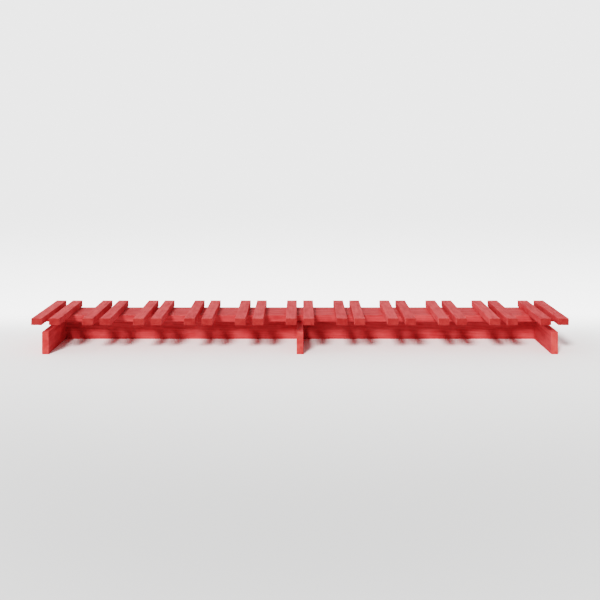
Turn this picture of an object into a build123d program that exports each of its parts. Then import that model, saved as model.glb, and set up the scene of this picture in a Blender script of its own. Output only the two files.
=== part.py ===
"""A low wooden wine rack.

Eleven pairs of short slats run front to back across a long board, and each wide gap between two pairs
cradles a bottle. The board sits on a rail set on edge, and three cross legs on edge are halved into the
rail. Millimetres, +X along the rack, +Y to the back, +Z up. The origin is on the floor, under the centre.
"""

from build123d import *
import math
import os

# Overall size
rack_length = 1200.0
rack_depth = 220.0

# Slats: square-edged sticks in pairs
slat_width = 24.0
slat_thickness = 15.0
pair_count = 11
pair_gap = 15.5

# Board, rail and legs are sawn from the same stock
stock = 15.0
board_width = 100.0
board_back_inset = 10.0
leg_height = 50.0

# Sanded edges
arris = 1.0

# Countersunk wood screws, driven up through the board into the slats
screw_length = 25.0
screw_radius = 2.0
screw_head_radius = 4.0
screw_clearance = 0.2
screw_head_angle = 90.0
screw_spacing = 60.0
screw_recess_width = 1.1
screw_recess_span = 4.6
screw_recess_depth = 1.6
screw_recess_taper = 12.0
screw_tip_length = 4.0
screw_tip_radius = 0.25

# Blind dowels between the board and what carries it
dowel_radius = 3.0
dowel_length = 30.0
dowel_in_board = 10.0
dowel_clearance = 0.05
dowel_chamfer = 0.6
leg_dowel_spacing = 60.0
rail_dowels_per_bay = 3

# Heights and places that follow
board_bottom = leg_height
slat_bottom = board_bottom + stock
board_y = rack_depth / 2 - board_back_inset - board_width / 2
rail_y = board_y
half_lap = leg_height / 2
pair_width = 2 * slat_width + pair_gap
pair_pitch = (rack_length - pair_width) / (pair_count - 1)
slat_offset = (slat_width + pair_gap) / 2
pair_centres = [(i - (pair_count - 1) / 2) * pair_pitch for i in range(pair_count)]
slat_centres = [x + side * slat_offset for x in pair_centres for side in (-1, 1)]
leg_centres = {"leg_left": pair_centres[0], "leg_centre": 0.0, "leg_right": pair_centres[-1]}
rail_length = pair_centres[-1] - pair_centres[0] + stock
screw_ys = [board_y - screw_spacing / 2, board_y + screw_spacing / 2]
leg_dowel_ys = [board_y - leg_dowel_spacing / 2, board_y + leg_dowel_spacing / 2]
bay_length = pair_centres[-1]
dowel_step = bay_length / (rail_dowels_per_bay + 1)
rail_dowel_xs = [
    side * dowel_step * (i + 1) for side in (-1, 1) for i in range(rail_dowels_per_bay)
]
leg_dowel_points = [(x, y) for x in leg_centres.values() for y in leg_dowel_ys]
rail_dowel_points = [(x, rail_y) for x in rail_dowel_xs]
screw_points = [(x, y) for x in slat_centres for y in screw_ys]

os.makedirs("parts", exist_ok=True)


def facing_down(height):
    """A horizontal plane whose holes go up from the given height."""
    return Plane(origin=(0, 0, height), x_dir=(1, 0, 0), z_dir=(0, 0, -1))


def on_underside(points):
    """Plan points as seen in a plane that faces down, where the Y axis is turned over."""
    return [(x, -y) for x, y in points]


def save(piece, name):
    """Labels a finished piece and writes it."""
    piece.part.label = name
    export_step(piece.part, f"parts/{name}.step")


# The slats, numbered from the left
for number, slat_x in enumerate(slat_centres, start=1):
    with BuildPart() as slat:
        with BuildSketch(Plane.XY.offset(slat_bottom)):
            with Locations((slat_x, 0)):
                Rectangle(slat_width, rack_depth)
        extrude(amount=slat_thickness)
        fillet(slat.edges(), radius=arris)
        with Locations(facing_down(slat_bottom)):
            with Locations(on_underside([(slat_x, y) for y in screw_ys])):
                Hole(
                    radius=screw_radius + screw_clearance / 2,
                    depth=screw_length - stock + screw_clearance,
                )
    save(slat, f"slat_{number:02d}")

# The long board under the slats
with BuildPart() as support_board:
    with BuildSketch(Plane.XY.offset(board_bottom)):
        with Locations((0, board_y)):
            Rectangle(rack_length, board_width)
    extrude(amount=stock)
    fillet(support_board.edges(), radius=arris)
    with Locations(facing_down(board_bottom)):
        with Locations(on_underside(screw_points)):
            CounterSinkHole(
                radius=screw_radius + screw_clearance,
                counter_sink_radius=screw_head_radius + screw_clearance,
                counter_sink_angle=screw_head_angle,
            )
        with Locations(on_underside(leg_dowel_points + rail_dowel_points)):
            Hole(radius=dowel_radius + dowel_clearance, depth=dowel_in_board)
save(support_board, "support_board")

# The rail on edge, halved over each leg from below
with BuildPart() as spine_rail:
    with BuildSketch(Plane.XY):
        with Locations((0, rail_y)):
            Rectangle(rail_length, stock)
    extrude(amount=leg_height)
    fillet(spine_rail.edges(), radius=arris)
    with BuildSketch(Plane.XY):
        with Locations([(x, rail_y) for x in leg_centres.values()]):
            Rectangle(stock, 2 * stock)
    extrude(amount=half_lap, mode=Mode.SUBTRACT)
    with Locations(Plane.XY.offset(leg_height)):
        with Locations(rail_dowel_points):
            Hole(radius=dowel_radius + dowel_clearance, depth=dowel_length - dowel_in_board)
save(spine_rail, "spine_rail")

# The cross legs on edge, halved under the rail from above
for leg_name, leg_x in leg_centres.items():
    with BuildPart() as leg:
        with BuildSketch(Plane.XY):
            with Locations((leg_x, 0)):
                Rectangle(stock, rack_depth)
        extrude(amount=leg_height)
        fillet(leg.edges(), radius=arris)
        with BuildSketch(Plane.XY.offset(half_lap)):
            with Locations((leg_x, rail_y)):
                Rectangle(2 * stock, stock)
        extrude(amount=half_lap, mode=Mode.SUBTRACT)
        with Locations(Plane.XY.offset(leg_height)):
            with Locations([(leg_x, y) for y in leg_dowel_ys]):
                Hole(
                    radius=dowel_radius + dowel_clearance,
                    depth=dowel_length - dowel_in_board,
                )
    save(leg, leg_name)

# The screws: a countersunk head flush with the board's underside, a plain shank and a point
head_height = (screw_head_radius - screw_radius) / math.tan(math.radians(screw_head_angle / 2))
screw_tip = board_bottom + screw_length
with BuildPart() as slat_screws:
    with Locations([(x, y, board_bottom) for x, y in screw_points]):
        Cone(
            bottom_radius=screw_head_radius,
            top_radius=screw_radius,
            height=head_height,
            align=(Align.CENTER, Align.CENTER, Align.MIN),
        )
    with BuildSketch(Plane.XY.offset(board_bottom + head_height)):
        with Locations(screw_points):
            Circle(screw_radius)
    extrude(amount=screw_length - head_height - screw_tip_length)
    with Locations([(x, y, screw_tip - screw_tip_length) for x, y in screw_points]):
        Cone(
            bottom_radius=screw_radius,
            top_radius=screw_tip_radius,
            height=screw_tip_length,
            align=(Align.CENTER, Align.CENTER, Align.MIN),
        )
    with BuildSketch(Plane.XY.offset(board_bottom)):
        with Locations(screw_points):
            Rectangle(screw_recess_span, screw_recess_width)
            Rectangle(screw_recess_width, screw_recess_span)
    extrude(amount=screw_recess_depth, taper=screw_recess_taper, mode=Mode.SUBTRACT)
save(slat_screws, "slat_screws")


def make_dowels(points, name):
    """Grooveless dowels with chamfered ends, standing in the board and in the piece below it."""
    with BuildPart() as dowels:
        with BuildSketch(Plane.XY.offset(board_bottom + dowel_in_board - dowel_length)):
            with Locations(points):
                Circle(dowel_radius)
        extrude(amount=dowel_length)
        chamfer(dowels.edges().filter_by(GeomType.CIRCLE), length=dowel_chamfer)
    save(dowels, name)


make_dowels(leg_dowel_points, "leg_dowels")
make_dowels(rail_dowel_points, "rail_dowels")
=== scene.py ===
"""The looks of the wine rack: red stained timber, zinc plated screws and plain dowels, in a pale studio."""

import bpy
import math
import random
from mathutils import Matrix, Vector


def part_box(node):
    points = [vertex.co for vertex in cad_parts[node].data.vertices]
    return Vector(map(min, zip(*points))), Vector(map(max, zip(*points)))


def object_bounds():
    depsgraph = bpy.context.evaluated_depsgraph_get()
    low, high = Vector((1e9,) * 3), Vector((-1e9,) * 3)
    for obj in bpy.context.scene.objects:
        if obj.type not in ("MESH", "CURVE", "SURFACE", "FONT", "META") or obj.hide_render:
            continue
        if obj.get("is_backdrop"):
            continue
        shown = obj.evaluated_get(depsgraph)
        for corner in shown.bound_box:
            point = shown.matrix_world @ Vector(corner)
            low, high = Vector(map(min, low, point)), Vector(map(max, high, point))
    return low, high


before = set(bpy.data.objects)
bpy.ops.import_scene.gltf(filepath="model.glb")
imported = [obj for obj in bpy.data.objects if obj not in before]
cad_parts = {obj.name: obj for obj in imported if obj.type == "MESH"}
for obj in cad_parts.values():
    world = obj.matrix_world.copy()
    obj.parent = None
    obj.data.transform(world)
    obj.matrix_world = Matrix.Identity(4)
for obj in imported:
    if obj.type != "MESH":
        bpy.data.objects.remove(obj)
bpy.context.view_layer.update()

MM = 0.001

# The camera stands level in front of the rack and is shifted down to it, like a view camera.
CAMERA_DISTANCE = 2.074
CAMERA_HEIGHT = 0.501
CAMERA_LENS = 55.78
CAMERA_SENSOR = 36.0
CAMERA_SHIFT = -0.2838

# The key light comes over the camera's left shoulder. Its angles are in degrees.
KEY_AZIMUTH = 19.5
KEY_ELEVATION = 35.0
KEY_SIZE = 13.0
KEY_POWER = 3.62
KEY_COLOUR = (1.0, 0.99, 0.98)

# The surround is brightest on the left and high up at the back. Heights in the sky go from -1, straight
# down, to 1, straight up, and a pair of them says where one part of the light gives way to the next.
SURROUND_TOP = 0.33
SURROUND_TOP_HEIGHTS = (0.45, 0.75)
SURROUND_BACK_LOW = 0.44
SURROUND_BACK_HIGH = 2.5
SURROUND_BACK_HEIGHTS = (0.2, 0.4)
SURROUND_LEFT = 2.15
SURROUND_RIGHT = 0.72
SURROUND_FRONT = 0.05

# Keeps a division off zero where a direction points straight up or down
SMALLEST_LEVEL = 1e-6

# The backdrop is what the camera sees of the surround. It glows a little more below the horizon.
BACKDROP_TONE = 1.50
BACKDROP_GLOW = 0.90
BACKDROP_GLOW_HEIGHTS = (-0.22, -0.08)

# The floor is a disc. Painted shade darkens its tone towards the front, and it fades into the backdrop
# soonest behind the rack. FLOOR_REACH weighs a metre sideways, forward and backward, and FLOOR_FADE is in
# weighed metres.
FLOOR_RADIUS = 8.0
FLOOR_SIDES = 96
FLOOR_TONE = 1.0
FLOOR_PAINTED_SHADE_FRONT = 0.52
FLOOR_PAINTED_SHADE_SPAN = (-1.6, 0.25)
FLOOR_REACH = (0.45, 0.35, 2.3)
FLOOR_FADE = (0.30, 0.95)
FLOOR_ROUGHNESS = 0.8

# Linear colours of the stain where the wood takes little or much of it: on long grain, on the slats', the
# board's and the rail's ends, on the legs' ends, and where an edge is worn. The legs' ends are painted
# light: lighter than the other ends, for the brighter light that the legs' fronts catch by the floor.
STAIN_LIGHT = (0.612, 0.090, 0.086)
STAIN_DEEP = (0.423, 0.042, 0.041)
END_LIGHT = (0.370, 0.044, 0.039)
END_DEEP = (0.259, 0.022, 0.020)
LEG_END_LIT_PALE = (0.617, 0.087, 0.078)
LEG_END_LIT_DEEP = (0.456, 0.044, 0.040)
STAIN_BARE = (0.680, 0.154, 0.134)

# Growth rings: how far they wander and vary in width, and the shares of a ring over which its late wood
# comes and goes
RING_WANDER = 9.0 * MM
RING_UNEVENNESS = 2.6
LATEWOOD_COMES = (0.25, 0.88)
LATEWOOD_GOES = (0.90, 1.0)
WANDER_NOISE = (16.0, 1.0)
WANDER_OFFSETS = ((0.0, 0.0, 0.0), (3.1, 7.7, 1.3))
UNEVEN_NOISE = (0.35, 1.0)

# Noise in the timber, as scale, detail and roughness. Before them, in what is drawn out along the grain, is
# the share that its length is shortened to: the smaller the share, the longer the marks.
WANDER_SHARE = 0.22
DRAWN_OUT = {
    "fibres": (0.016, 1400.0, 3.0, 0.62),
    "hair": (0.04, 3600.0, 2.0, 0.6),
    "pores": (0.07, 2300.0, 1.0),
    "streaks": (0.05, 210.0, 3.0),
    "clouds": (0.24, 95.0, 2.0, 0.55),
}
BLOTCH_NOISE = (42.0, 3.0, 0.6)
RUB_NOISE = (160.0, 3.0, 0.65)
PORE_EDGE = (0.66, 0.76)
RUB_EDGE = (0.42, 0.68)
END_GRAIN_EDGE = (0.55, 0.9)

# What each pattern adds to the depth of the stain, to the roughness and to the height of the surface
BASE_DEPTH = 0.30
LATEWOOD_DEPTH = 0.34
PORE_DEPTH = 0.5
DEPTHS = {"fibres": 0.95, "streaks": 0.8, "clouds": 1.8, "blotches": 1.2}
BASE_ROUGHNESS = 0.60
ROUGHNESSES = {"latewood": -0.05, "end_grain": 0.16, "worn": 0.08}
FIBRE_ROUGHNESS = 0.22
HEIGHTS = {"latewood": 0.30, "fibres": 0.42, "hair": 0.18, "pores": -0.35}
RELIEF = 0.16 * MM
WEAR_REACH = 1.7 * MM
WEAR_SHARE = 0.25
TIMBER_IOR = 1.46
TIMBER_GLOSS = 0.045

# How a piece may be cut from its log. Lengths are in millimetres, and the seed is the first piece's.
FIRST_SEED = 40
START_SPREAD = 5.0
UPRIGHT_TILT = 0.2
PITH_DISTANCE = (28.0, 75.0)
TAPER = (0.008, 0.03)
RING_WIDTH = (2.2, 3.6)
TONE_SPREAD = 0.18

# The screws' zinc: linear colours, a spangle, and turning marks squeezed together along the screw
ZINC_DULL = (0.56, 0.57, 0.59)
ZINC_BRIGHT = (0.68, 0.68, 0.67)
SPANGLE_NOISE = (900.0, 2.0)
TURNING_NOISE = (1500.0, 2.0)
TURNING_SQUEEZE = (1.0, 1.0, 12.0)
TURNING_SPAN = (0.3, 0.7)
ZINC_ROUGHNESS = (0.30, 0.40)
ZINC_RELIEF = 0.01 * MM

# The dowels' beech: linear colours, fibres and the flecks of rays, both drawn out along the dowel
BEECH_DEEP = (0.42, 0.25, 0.14)
BEECH_LIGHT = (0.58, 0.39, 0.23)
BEECH_FLECK = (0.28, 0.15, 0.08)
BEECH_FIBRES = (0.06, 1600.0, 3.0, 0.6)
BEECH_RAYS = (0.3, 1500.0, 1.0)
BEECH_RAY_EDGE = (0.62, 0.74)
BEECH_FLECK_SHARE = 0.5
BEECH_FIBRE_SPAN = (0.2, 0.8)
BEECH_ROUGHNESS = (0.52, 0.68)
BEECH_RELIEF = 0.08 * MM


# ---------------------------------------------------------------- node helpers


class Tree:
    """A node tree with short calls for the nodes that a pattern needs."""

    def __init__(self, owner, shader_kind, output_kind):
        owner.use_nodes = True
        self.tree = owner.node_tree
        self.tree.nodes.clear()
        self.shader = self.node(shader_kind)
        output = self.node(output_kind)
        self.tree.links.new(self.shader.outputs[0], output.inputs["Surface"])

    def node(self, kind):
        return self.tree.nodes.new(kind)

    def put(self, value, socket):
        """Sets a socket to a number, a tuple or another node's output."""
        if isinstance(value, bpy.types.NodeSocket):
            self.tree.links.new(value, socket)
        else:
            socket.default_value = value

    def shade(self, name, value):
        """Sets one of the shader's own sockets."""
        self.put(value, self.shader.inputs[name])

    def math(self, operation, a, b=0.0, c=0.0, clamp=False):
        made = self.node("ShaderNodeMath")
        made.operation = operation
        made.use_clamp = clamp
        for value, socket in zip((a, b, c), made.inputs):
            self.put(value, socket)
        return made.outputs[0]

    def centred(self, pattern):
        """A pattern between 0 and 1, moved to lie about 0."""
        return self.math("SUBTRACT", pattern, 0.5)

    def weigh(self, base, weighted):
        """The base plus each pattern times its weight."""
        for pattern, weight in weighted:
            base = self.math("MULTIPLY_ADD", pattern, weight, base)
        return base

    def vector(self, operation, a, b):
        made = self.node("ShaderNodeVectorMath")
        made.operation = operation
        self.put(a, made.inputs[0])
        self.put(b, made.inputs[1])
        return made.outputs[0]

    def combine(self, x, y, z):
        made = self.node("ShaderNodeCombineXYZ")
        for value, socket in zip((x, y, z), made.inputs):
            self.put(value, socket)
        return made.outputs[0]

    def length(self, vector):
        made = self.node("ShaderNodeVectorMath")
        made.operation = "LENGTH"
        self.put(vector, made.inputs[0])
        return made.outputs["Value"]

    def separate(self, vector):
        made = self.node("ShaderNodeSeparateXYZ")
        self.put(vector, made.inputs[0])
        return made.outputs

    def noise(self, vector, scale, detail=2.0, rough=0.5):
        made = self.node("ShaderNodeTexNoise")
        self.put(vector, made.inputs["Vector"])
        made.inputs["Scale"].default_value = scale
        made.inputs["Detail"].default_value = detail
        made.inputs["Roughness"].default_value = rough
        return made.outputs["Fac"]

    def spread(self, value, low, high, to_low=0.0, to_high=1.0):
        """Maps low..high onto to_low..to_high, smoothly and clamped."""
        made = self.node("ShaderNodeMapRange")
        made.interpolation_type = "SMOOTHSTEP"
        for item, socket in zip((value, low, high, to_low, to_high), made.inputs):
            self.put(item, socket)
        return made.outputs[0]

    def mix(self, share, a, b):
        made = self.node("ShaderNodeMix")
        made.data_type = "RGBA"
        self.put(share, made.inputs["Factor"])
        for value, socket in ((a, made.inputs["A"]), (b, made.inputs["B"])):
            self.put((*value, 1.0) if isinstance(value, tuple) else value, socket)
        return made.outputs["Result"]

    def bump(self, height, depth):
        """A normal from a height between 0 and 1 that stands for depth metres."""
        made = self.node("ShaderNodeBump")
        made.inputs["Distance"].default_value = depth
        self.put(height, made.inputs["Height"])
        return made.outputs["Normal"]

    def coordinates(self, output):
        return self.node("ShaderNodeTexCoord").outputs[output]


def material_tree(name):
    """A new material and its tree, with a Principled shader."""
    material = bpy.data.materials.new(name)
    return material, Tree(material, "ShaderNodeBsdfPrincipled", "ShaderNodeOutputMaterial")


def along_grain(tree, place, grain):
    """The place with its last axis along the grain: (across, across, along)."""
    x, y, z = tree.separate(place)
    return {"X": (y, z, x), "Y": (x, z, y)}[grain]


def edge_nearness(tree, place, size, reach):
    """1 on the edges of a block of this size, falling to 0 at reach metres from them."""
    gaps = []
    for part, side in zip(tree.separate(place), size):
        gaps.append(tree.math("SUBTRACT", side / 2, tree.math("ABSOLUTE", part)))
    a, b, c = gaps
    lower, upper = tree.math("MINIMUM", a, b), tree.math("MAXIMUM", a, b)
    second = tree.math("MAXIMUM", lower, tree.math("MINIMUM", upper, c))
    return tree.spread(second, 0.0, reach, 1.0, 0.0)


# ---------------------------------------------------------------- timber


def growth_rings(tree, across, rise, along, wander, cut):
    """Rings round a pith beside the piece: 0 in the early wood, rising to 1 in the late wood."""
    side_a = tree.math("ADD", across, math.cos(cut["pith_angle"]) * cut["pith_distance"])
    side_b = tree.math("ADD", rise, math.sin(cut["pith_angle"]) * cut["pith_distance"])
    side_a = tree.math("MULTIPLY_ADD", wander[0], RING_WANDER, side_a)
    side_b = tree.math("MULTIPLY_ADD", wander[1], RING_WANDER, side_b)
    squares = tree.math("MULTIPLY_ADD", side_a, side_a, tree.math("MULTIPLY", side_b, side_b))
    radius = tree.math("MULTIPLY_ADD", along, cut["taper"], tree.math("SQRT", squares))
    rings = tree.math("DIVIDE", radius, cut["ring_width"])
    uneven = tree.noise(tree.combine(rings, cut["start"], 0.0), *UNEVEN_NOISE)
    phase = tree.math("FRACT", tree.math("MULTIPLY_ADD", uneven, RING_UNEVENNESS, rings))
    return tree.math(
        "MULTIPLY", tree.spread(phase, *LATEWOOD_COMES), tree.spread(phase, *LATEWOOD_GOES, 1.0, 0.0)
    )


def timber_patterns(tree, place, size, grain, cut):
    """The patterns that one piece of timber shows, each between 0 and 1."""
    across, rise, along = along_grain(tree, place, grain)
    slide = tree.math("ADD", along, cut["start"])

    def drawn_out(share):
        """The place with its length along the grain shortened, so that a pattern is drawn out."""
        return tree.combine(across, rise, tree.math("MULTIPLY", slide, share))

    slow = drawn_out(WANDER_SHARE)
    wander = [
        tree.centred(tree.noise(tree.vector("ADD", slow, offset), *WANDER_NOISE))
        for offset in WANDER_OFFSETS
    ]
    patterns = {name: tree.noise(drawn_out(share), *look) for name, (share, *look) in DRAWN_OUT.items()}
    patterns["pores"] = tree.spread(patterns["pores"], *PORE_EDGE)
    patterns["latewood"] = growth_rings(tree, across, rise, along, wander, cut)
    shifted = tree.vector("ADD", place, (cut["start"], 0.0, 0.0))
    patterns["blotches"] = tree.noise(shifted, *BLOTCH_NOISE)

    facing = tree.separate(tree.coordinates("Normal"))["XYZ".index(grain)]
    patterns["end_grain"] = tree.spread(tree.math("ABSOLUTE", facing), *END_GRAIN_EDGE)

    shifted = tree.vector("ADD", place, (0.0, cut["start"], 0.0))
    rub = tree.spread(tree.noise(shifted, *RUB_NOISE), *RUB_EDGE)
    patterns["worn"] = tree.math("MULTIPLY", edge_nearness(tree, place, size, WEAR_REACH), rub)
    return patterns


def stain_colour(tree, patterns, ends, tone):
    """Deeper where the wood takes more stain, another colour on the ends, and thin on the arrises."""
    depth = tree.math("MULTIPLY_ADD", patterns["latewood"], LATEWOOD_DEPTH, BASE_DEPTH + tone)
    depth = tree.weigh(depth, [(tree.centred(patterns[name]), weight) for name, weight in DEPTHS.items()])
    depth = tree.math("MULTIPLY_ADD", patterns["pores"], PORE_DEPTH, depth, clamp=True)
    colour = tree.mix(
        patterns["end_grain"], tree.mix(depth, STAIN_LIGHT, STAIN_DEEP), tree.mix(depth, *ends)
    )
    return tree.mix(tree.math("MULTIPLY", patterns["worn"], WEAR_SHARE), colour, STAIN_BARE)


def stained_timber(name, centre, size, grain, ends, cut):
    """Softwood under a red stain. Ends are the two colours of the end grain, which on the legs hold painted
    light.
    """
    material, tree = material_tree(name)
    place = tree.vector("SUBTRACT", tree.coordinates("Object"), tuple(centre))
    patterns = timber_patterns(tree, place, size, grain, cut)
    tree.shade("Base Color", stain_colour(tree, patterns, ends, cut["tone"]))

    rough = tree.math("MULTIPLY_ADD", tree.centred(patterns["fibres"]), FIBRE_ROUGHNESS, BASE_ROUGHNESS)
    rough = tree.weigh(rough, [(patterns[name], weight) for name, weight in ROUGHNESSES.items()])
    tree.shade("Roughness", rough)

    height = tree.weigh(0.0, [(patterns[name], weight) for name, weight in HEIGHTS.items()])
    tree.shade("Normal", tree.bump(height, RELIEF))
    tree.shade("IOR", TIMBER_IOR)
    tree.shade("Specular IOR Level", TIMBER_GLOSS)
    return material


# ---------------------------------------------------------------- screws and dowels


def zinc_steel(name):
    """Zinc plated steel: bright, with a faint spangle and fine turning marks."""
    material, tree = material_tree(name)
    place = tree.coordinates("Object")
    spangle = tree.noise(place, *SPANGLE_NOISE)
    marks = tree.noise(tree.vector("MULTIPLY", place, TURNING_SQUEEZE), *TURNING_NOISE)
    tree.shade("Base Color", tree.mix(spangle, ZINC_DULL, ZINC_BRIGHT))
    tree.shade("Roughness", tree.spread(marks, *TURNING_SPAN, *ZINC_ROUGHNESS))
    tree.shade("Normal", tree.bump(marks, ZINC_RELIEF))
    tree.shade("Metallic", 1.0)
    return material


def plain_beech(name):
    """Turned beech dowels: pale, close grained, with the short dark flecks of its rays."""
    material, tree = material_tree(name)
    x, y, z = tree.separate(tree.coordinates("Object"))
    fibres, rays = [
        tree.noise(tree.combine(x, y, tree.math("MULTIPLY", z, share)), *look)
        for share, *look in (BEECH_FIBRES, BEECH_RAYS)
    ]
    flecks = tree.math("MULTIPLY", tree.spread(rays, *BEECH_RAY_EDGE), BEECH_FLECK_SHARE)
    tree.shade("Base Color", tree.mix(flecks, tree.mix(fibres, BEECH_DEEP, BEECH_LIGHT), BEECH_FLECK))
    tree.shade("Roughness", tree.spread(fibres, *BEECH_FIBRE_SPAN, *BEECH_ROUGHNESS))
    tree.shade("Normal", tree.bump(fibres, BEECH_RELIEF))
    return material


# ---------------------------------------------------------------- dressing the frame


# The pieces whose grain doesn't run front to back, and those that aren't stained timber
GRAINS = {"support_board": "X", "spine_rail": "X"}
OTHERS = {"slat_screws": zinc_steel, "leg_dowels": plain_beech, "rail_dowels": plain_beech}


def dress(node, material):
    """Gives a CAD node its material."""
    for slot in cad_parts[node].material_slots:
        slot.material = material


def draw_pith_angle(draw, on_edge):
    """Where the pith lies. A piece on edge has it to one side, so that its rings stand upright."""
    if on_edge:
        return draw.choice((0.0, math.pi)) + draw.uniform(-UPRIGHT_TILT, UPRIGHT_TILT)
    return draw.uniform(0.0, 2 * math.pi)


def draw_cut(number, on_edge):
    """How one piece was cut from its log, the same on every run."""
    draw = random.Random(FIRST_SEED + number)
    return {
        "start": draw.uniform(-START_SPREAD, START_SPREAD),
        "pith_angle": draw_pith_angle(draw, on_edge),
        "pith_distance": draw.uniform(*PITH_DISTANCE) * MM,
        "taper": draw.choice((-1, 1)) * draw.uniform(*TAPER),
        "ring_width": draw.uniform(*RING_WIDTH) * MM,
        "tone": draw.uniform(-TONE_SPREAD, TONE_SPREAD),
    }


def dress_timber(node, number):
    """Gives a wooden CAD node a stained timber cut for its own place and size."""
    low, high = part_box(node)
    is_leg = node.startswith("leg_")
    # The legs' ends are painted light, lighter than the other ends for the brighter light on the legs'
    # fronts.
    ends = (LEG_END_LIT_PALE, LEG_END_LIT_DEEP) if is_leg else (END_LIGHT, END_DEEP)
    cut = draw_cut(number, is_leg)
    grain = GRAINS.get(node, "Y")
    dress(node, stained_timber(f"{node}_wood", (low + high) / 2, high - low, grain, ends, cut))


def dress_all():
    for number, node in enumerate(sorted(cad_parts)):
        if node in OTHERS:
            dress(node, OTHERS[node](f"{node}_finish"))
        else:
            dress_timber(node, number)


# ---------------------------------------------------------------- studio


def make_floor():
    """A pale disc that fades out into the backdrop."""
    mesh = bpy.data.meshes.new("studio_floor")
    steps = [2 * math.pi * i / FLOOR_SIDES for i in range(FLOOR_SIDES)]
    rim = [(FLOOR_RADIUS * math.cos(a), FLOOR_RADIUS * math.sin(a), 0.0) for a in steps]
    mesh.from_pydata(rim, [], [tuple(range(FLOOR_SIDES))])
    floor = bpy.data.objects.new("studio_floor", mesh)
    bpy.context.scene.collection.objects.link(floor)
    mesh.materials.append(floor_paint())
    floor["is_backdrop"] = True


def floor_paint():
    """Matt paint whose opacity depends on the place, with painted shade that darkens its tone towards the
    front.
    """
    material, tree = material_tree("studio_floor_paint")
    x, y, _ = tree.separate(tree.coordinates("Object"))
    # Painted shade: the tone darkens towards the front.
    tone = tree.spread(y, *FLOOR_PAINTED_SHADE_SPAN, FLOOR_PAINTED_SHADE_FRONT, FLOOR_TONE)
    tree.shade("Base Color", tree.combine(tone, tone, tone))
    tree.shade("Roughness", FLOOR_ROUGHNESS)
    tree.shade("Specular IOR Level", 0.0)
    sideways, forward, backward = FLOOR_REACH
    behind = tree.math("MULTIPLY", tree.math("MAXIMUM", y, 0.0), backward)
    away = tree.math("MULTIPLY_ADD", tree.math("MINIMUM", y, 0.0), -forward, behind)
    reach = tree.length(tree.combine(tree.math("MULTIPLY", x, sideways), away, 0.0))
    tree.shade("Alpha", tree.spread(reach, *FLOOR_FADE, 1.0, 0.0))
    return material


def make_key():
    """A broad key light far away."""
    lamp = bpy.data.lights.new("key", "SUN")
    lamp.energy = KEY_POWER
    lamp.angle = math.radians(KEY_SIZE)
    lamp.color = KEY_COLOUR
    key = bpy.data.objects.new("key", lamp)
    turn, climb = math.radians(KEY_AZIMUTH), math.radians(KEY_ELEVATION)
    towards = Vector((-math.sin(turn) * math.cos(climb), -math.cos(turn) * math.cos(climb), math.sin(climb)))
    key.rotation_mode = "QUATERNION"
    key.rotation_quaternion = towards.to_track_quat("Z", "Y")
    bpy.context.scene.collection.objects.link(key)


def surround_light(tree, x, y, z):
    """The light that comes from a direction: one part for straight above, and one for each side."""
    top = tree.spread(z, *SURROUND_TOP_HEIGHTS)
    back = tree.spread(z, *SURROUND_BACK_HEIGHTS, SURROUND_BACK_LOW, SURROUND_BACK_HIGH)
    level = tree.math("MULTIPLY_ADD", x, x, tree.math("MULTIPLY", y, y))
    level = tree.math("MAXIMUM", level, SMALLEST_LEVEL)
    lobes = []
    for part, sign, strength in (
        (y, 1, back),
        (y, -1, SURROUND_FRONT),
        (x, -1, SURROUND_LEFT),
        (x, 1, SURROUND_RIGHT),
    ):
        ahead = tree.math("MAXIMUM", tree.math("MULTIPLY", part, sign), 0.0)
        lobes.append((tree.math("DIVIDE", tree.math("MULTIPLY", ahead, ahead), level), strength))
    sides = tree.math("MULTIPLY", tree.weigh(0.0, lobes), tree.math("SUBTRACT", 1.0, top))
    return tree.math("MULTIPLY_ADD", top, SURROUND_TOP, sides)


def make_surround():
    """Soft light from all round, brighter on some sides, and a plain pale backdrop to look at."""
    world = bpy.data.worlds.new("surround")
    tree = Tree(world, "ShaderNodeBackground", "ShaderNodeOutputWorld")
    x, y, z = tree.separate(tree.coordinates("Generated"))
    light = surround_light(tree, x, y, z)
    glow = tree.spread(z, *BACKDROP_GLOW_HEIGHTS, BACKDROP_GLOW, 0.0)
    backdrop = tree.math("ADD", glow, BACKDROP_TONE)
    seen = tree.node("ShaderNodeLightPath").outputs["Is Camera Ray"]
    unseen = tree.math("MULTIPLY", light, tree.math("SUBTRACT", 1.0, seen))
    tree.shade("Color", (1.0, 1.0, 1.0, 1.0))
    tree.shade("Strength", tree.math("MULTIPLY_ADD", seen, backdrop, unseen))
    bpy.context.scene.world = world


def make_camera():
    low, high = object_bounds()
    lens = bpy.data.cameras.new("camera")
    lens.lens = CAMERA_LENS
    lens.sensor_width = CAMERA_SENSOR
    lens.shift_y = CAMERA_SHIFT
    camera = bpy.data.objects.new("camera", lens)
    camera.location = ((low.x + high.x) / 2, low.y - CAMERA_DISTANCE, low.z + CAMERA_HEIGHT)
    camera.rotation_euler = (math.radians(90), 0, 0)
    bpy.context.scene.collection.objects.link(camera)
    bpy.context.scene.camera = camera


def set_film():
    """A film-like response: deep shadows stay saturated and highlights roll off."""
    film = bpy.context.scene.view_settings
    film.view_transform = "Filmic"
    film.look = "High Contrast"


dress_all()
make_floor()
make_key()
make_surround()
make_camera()
set_film()
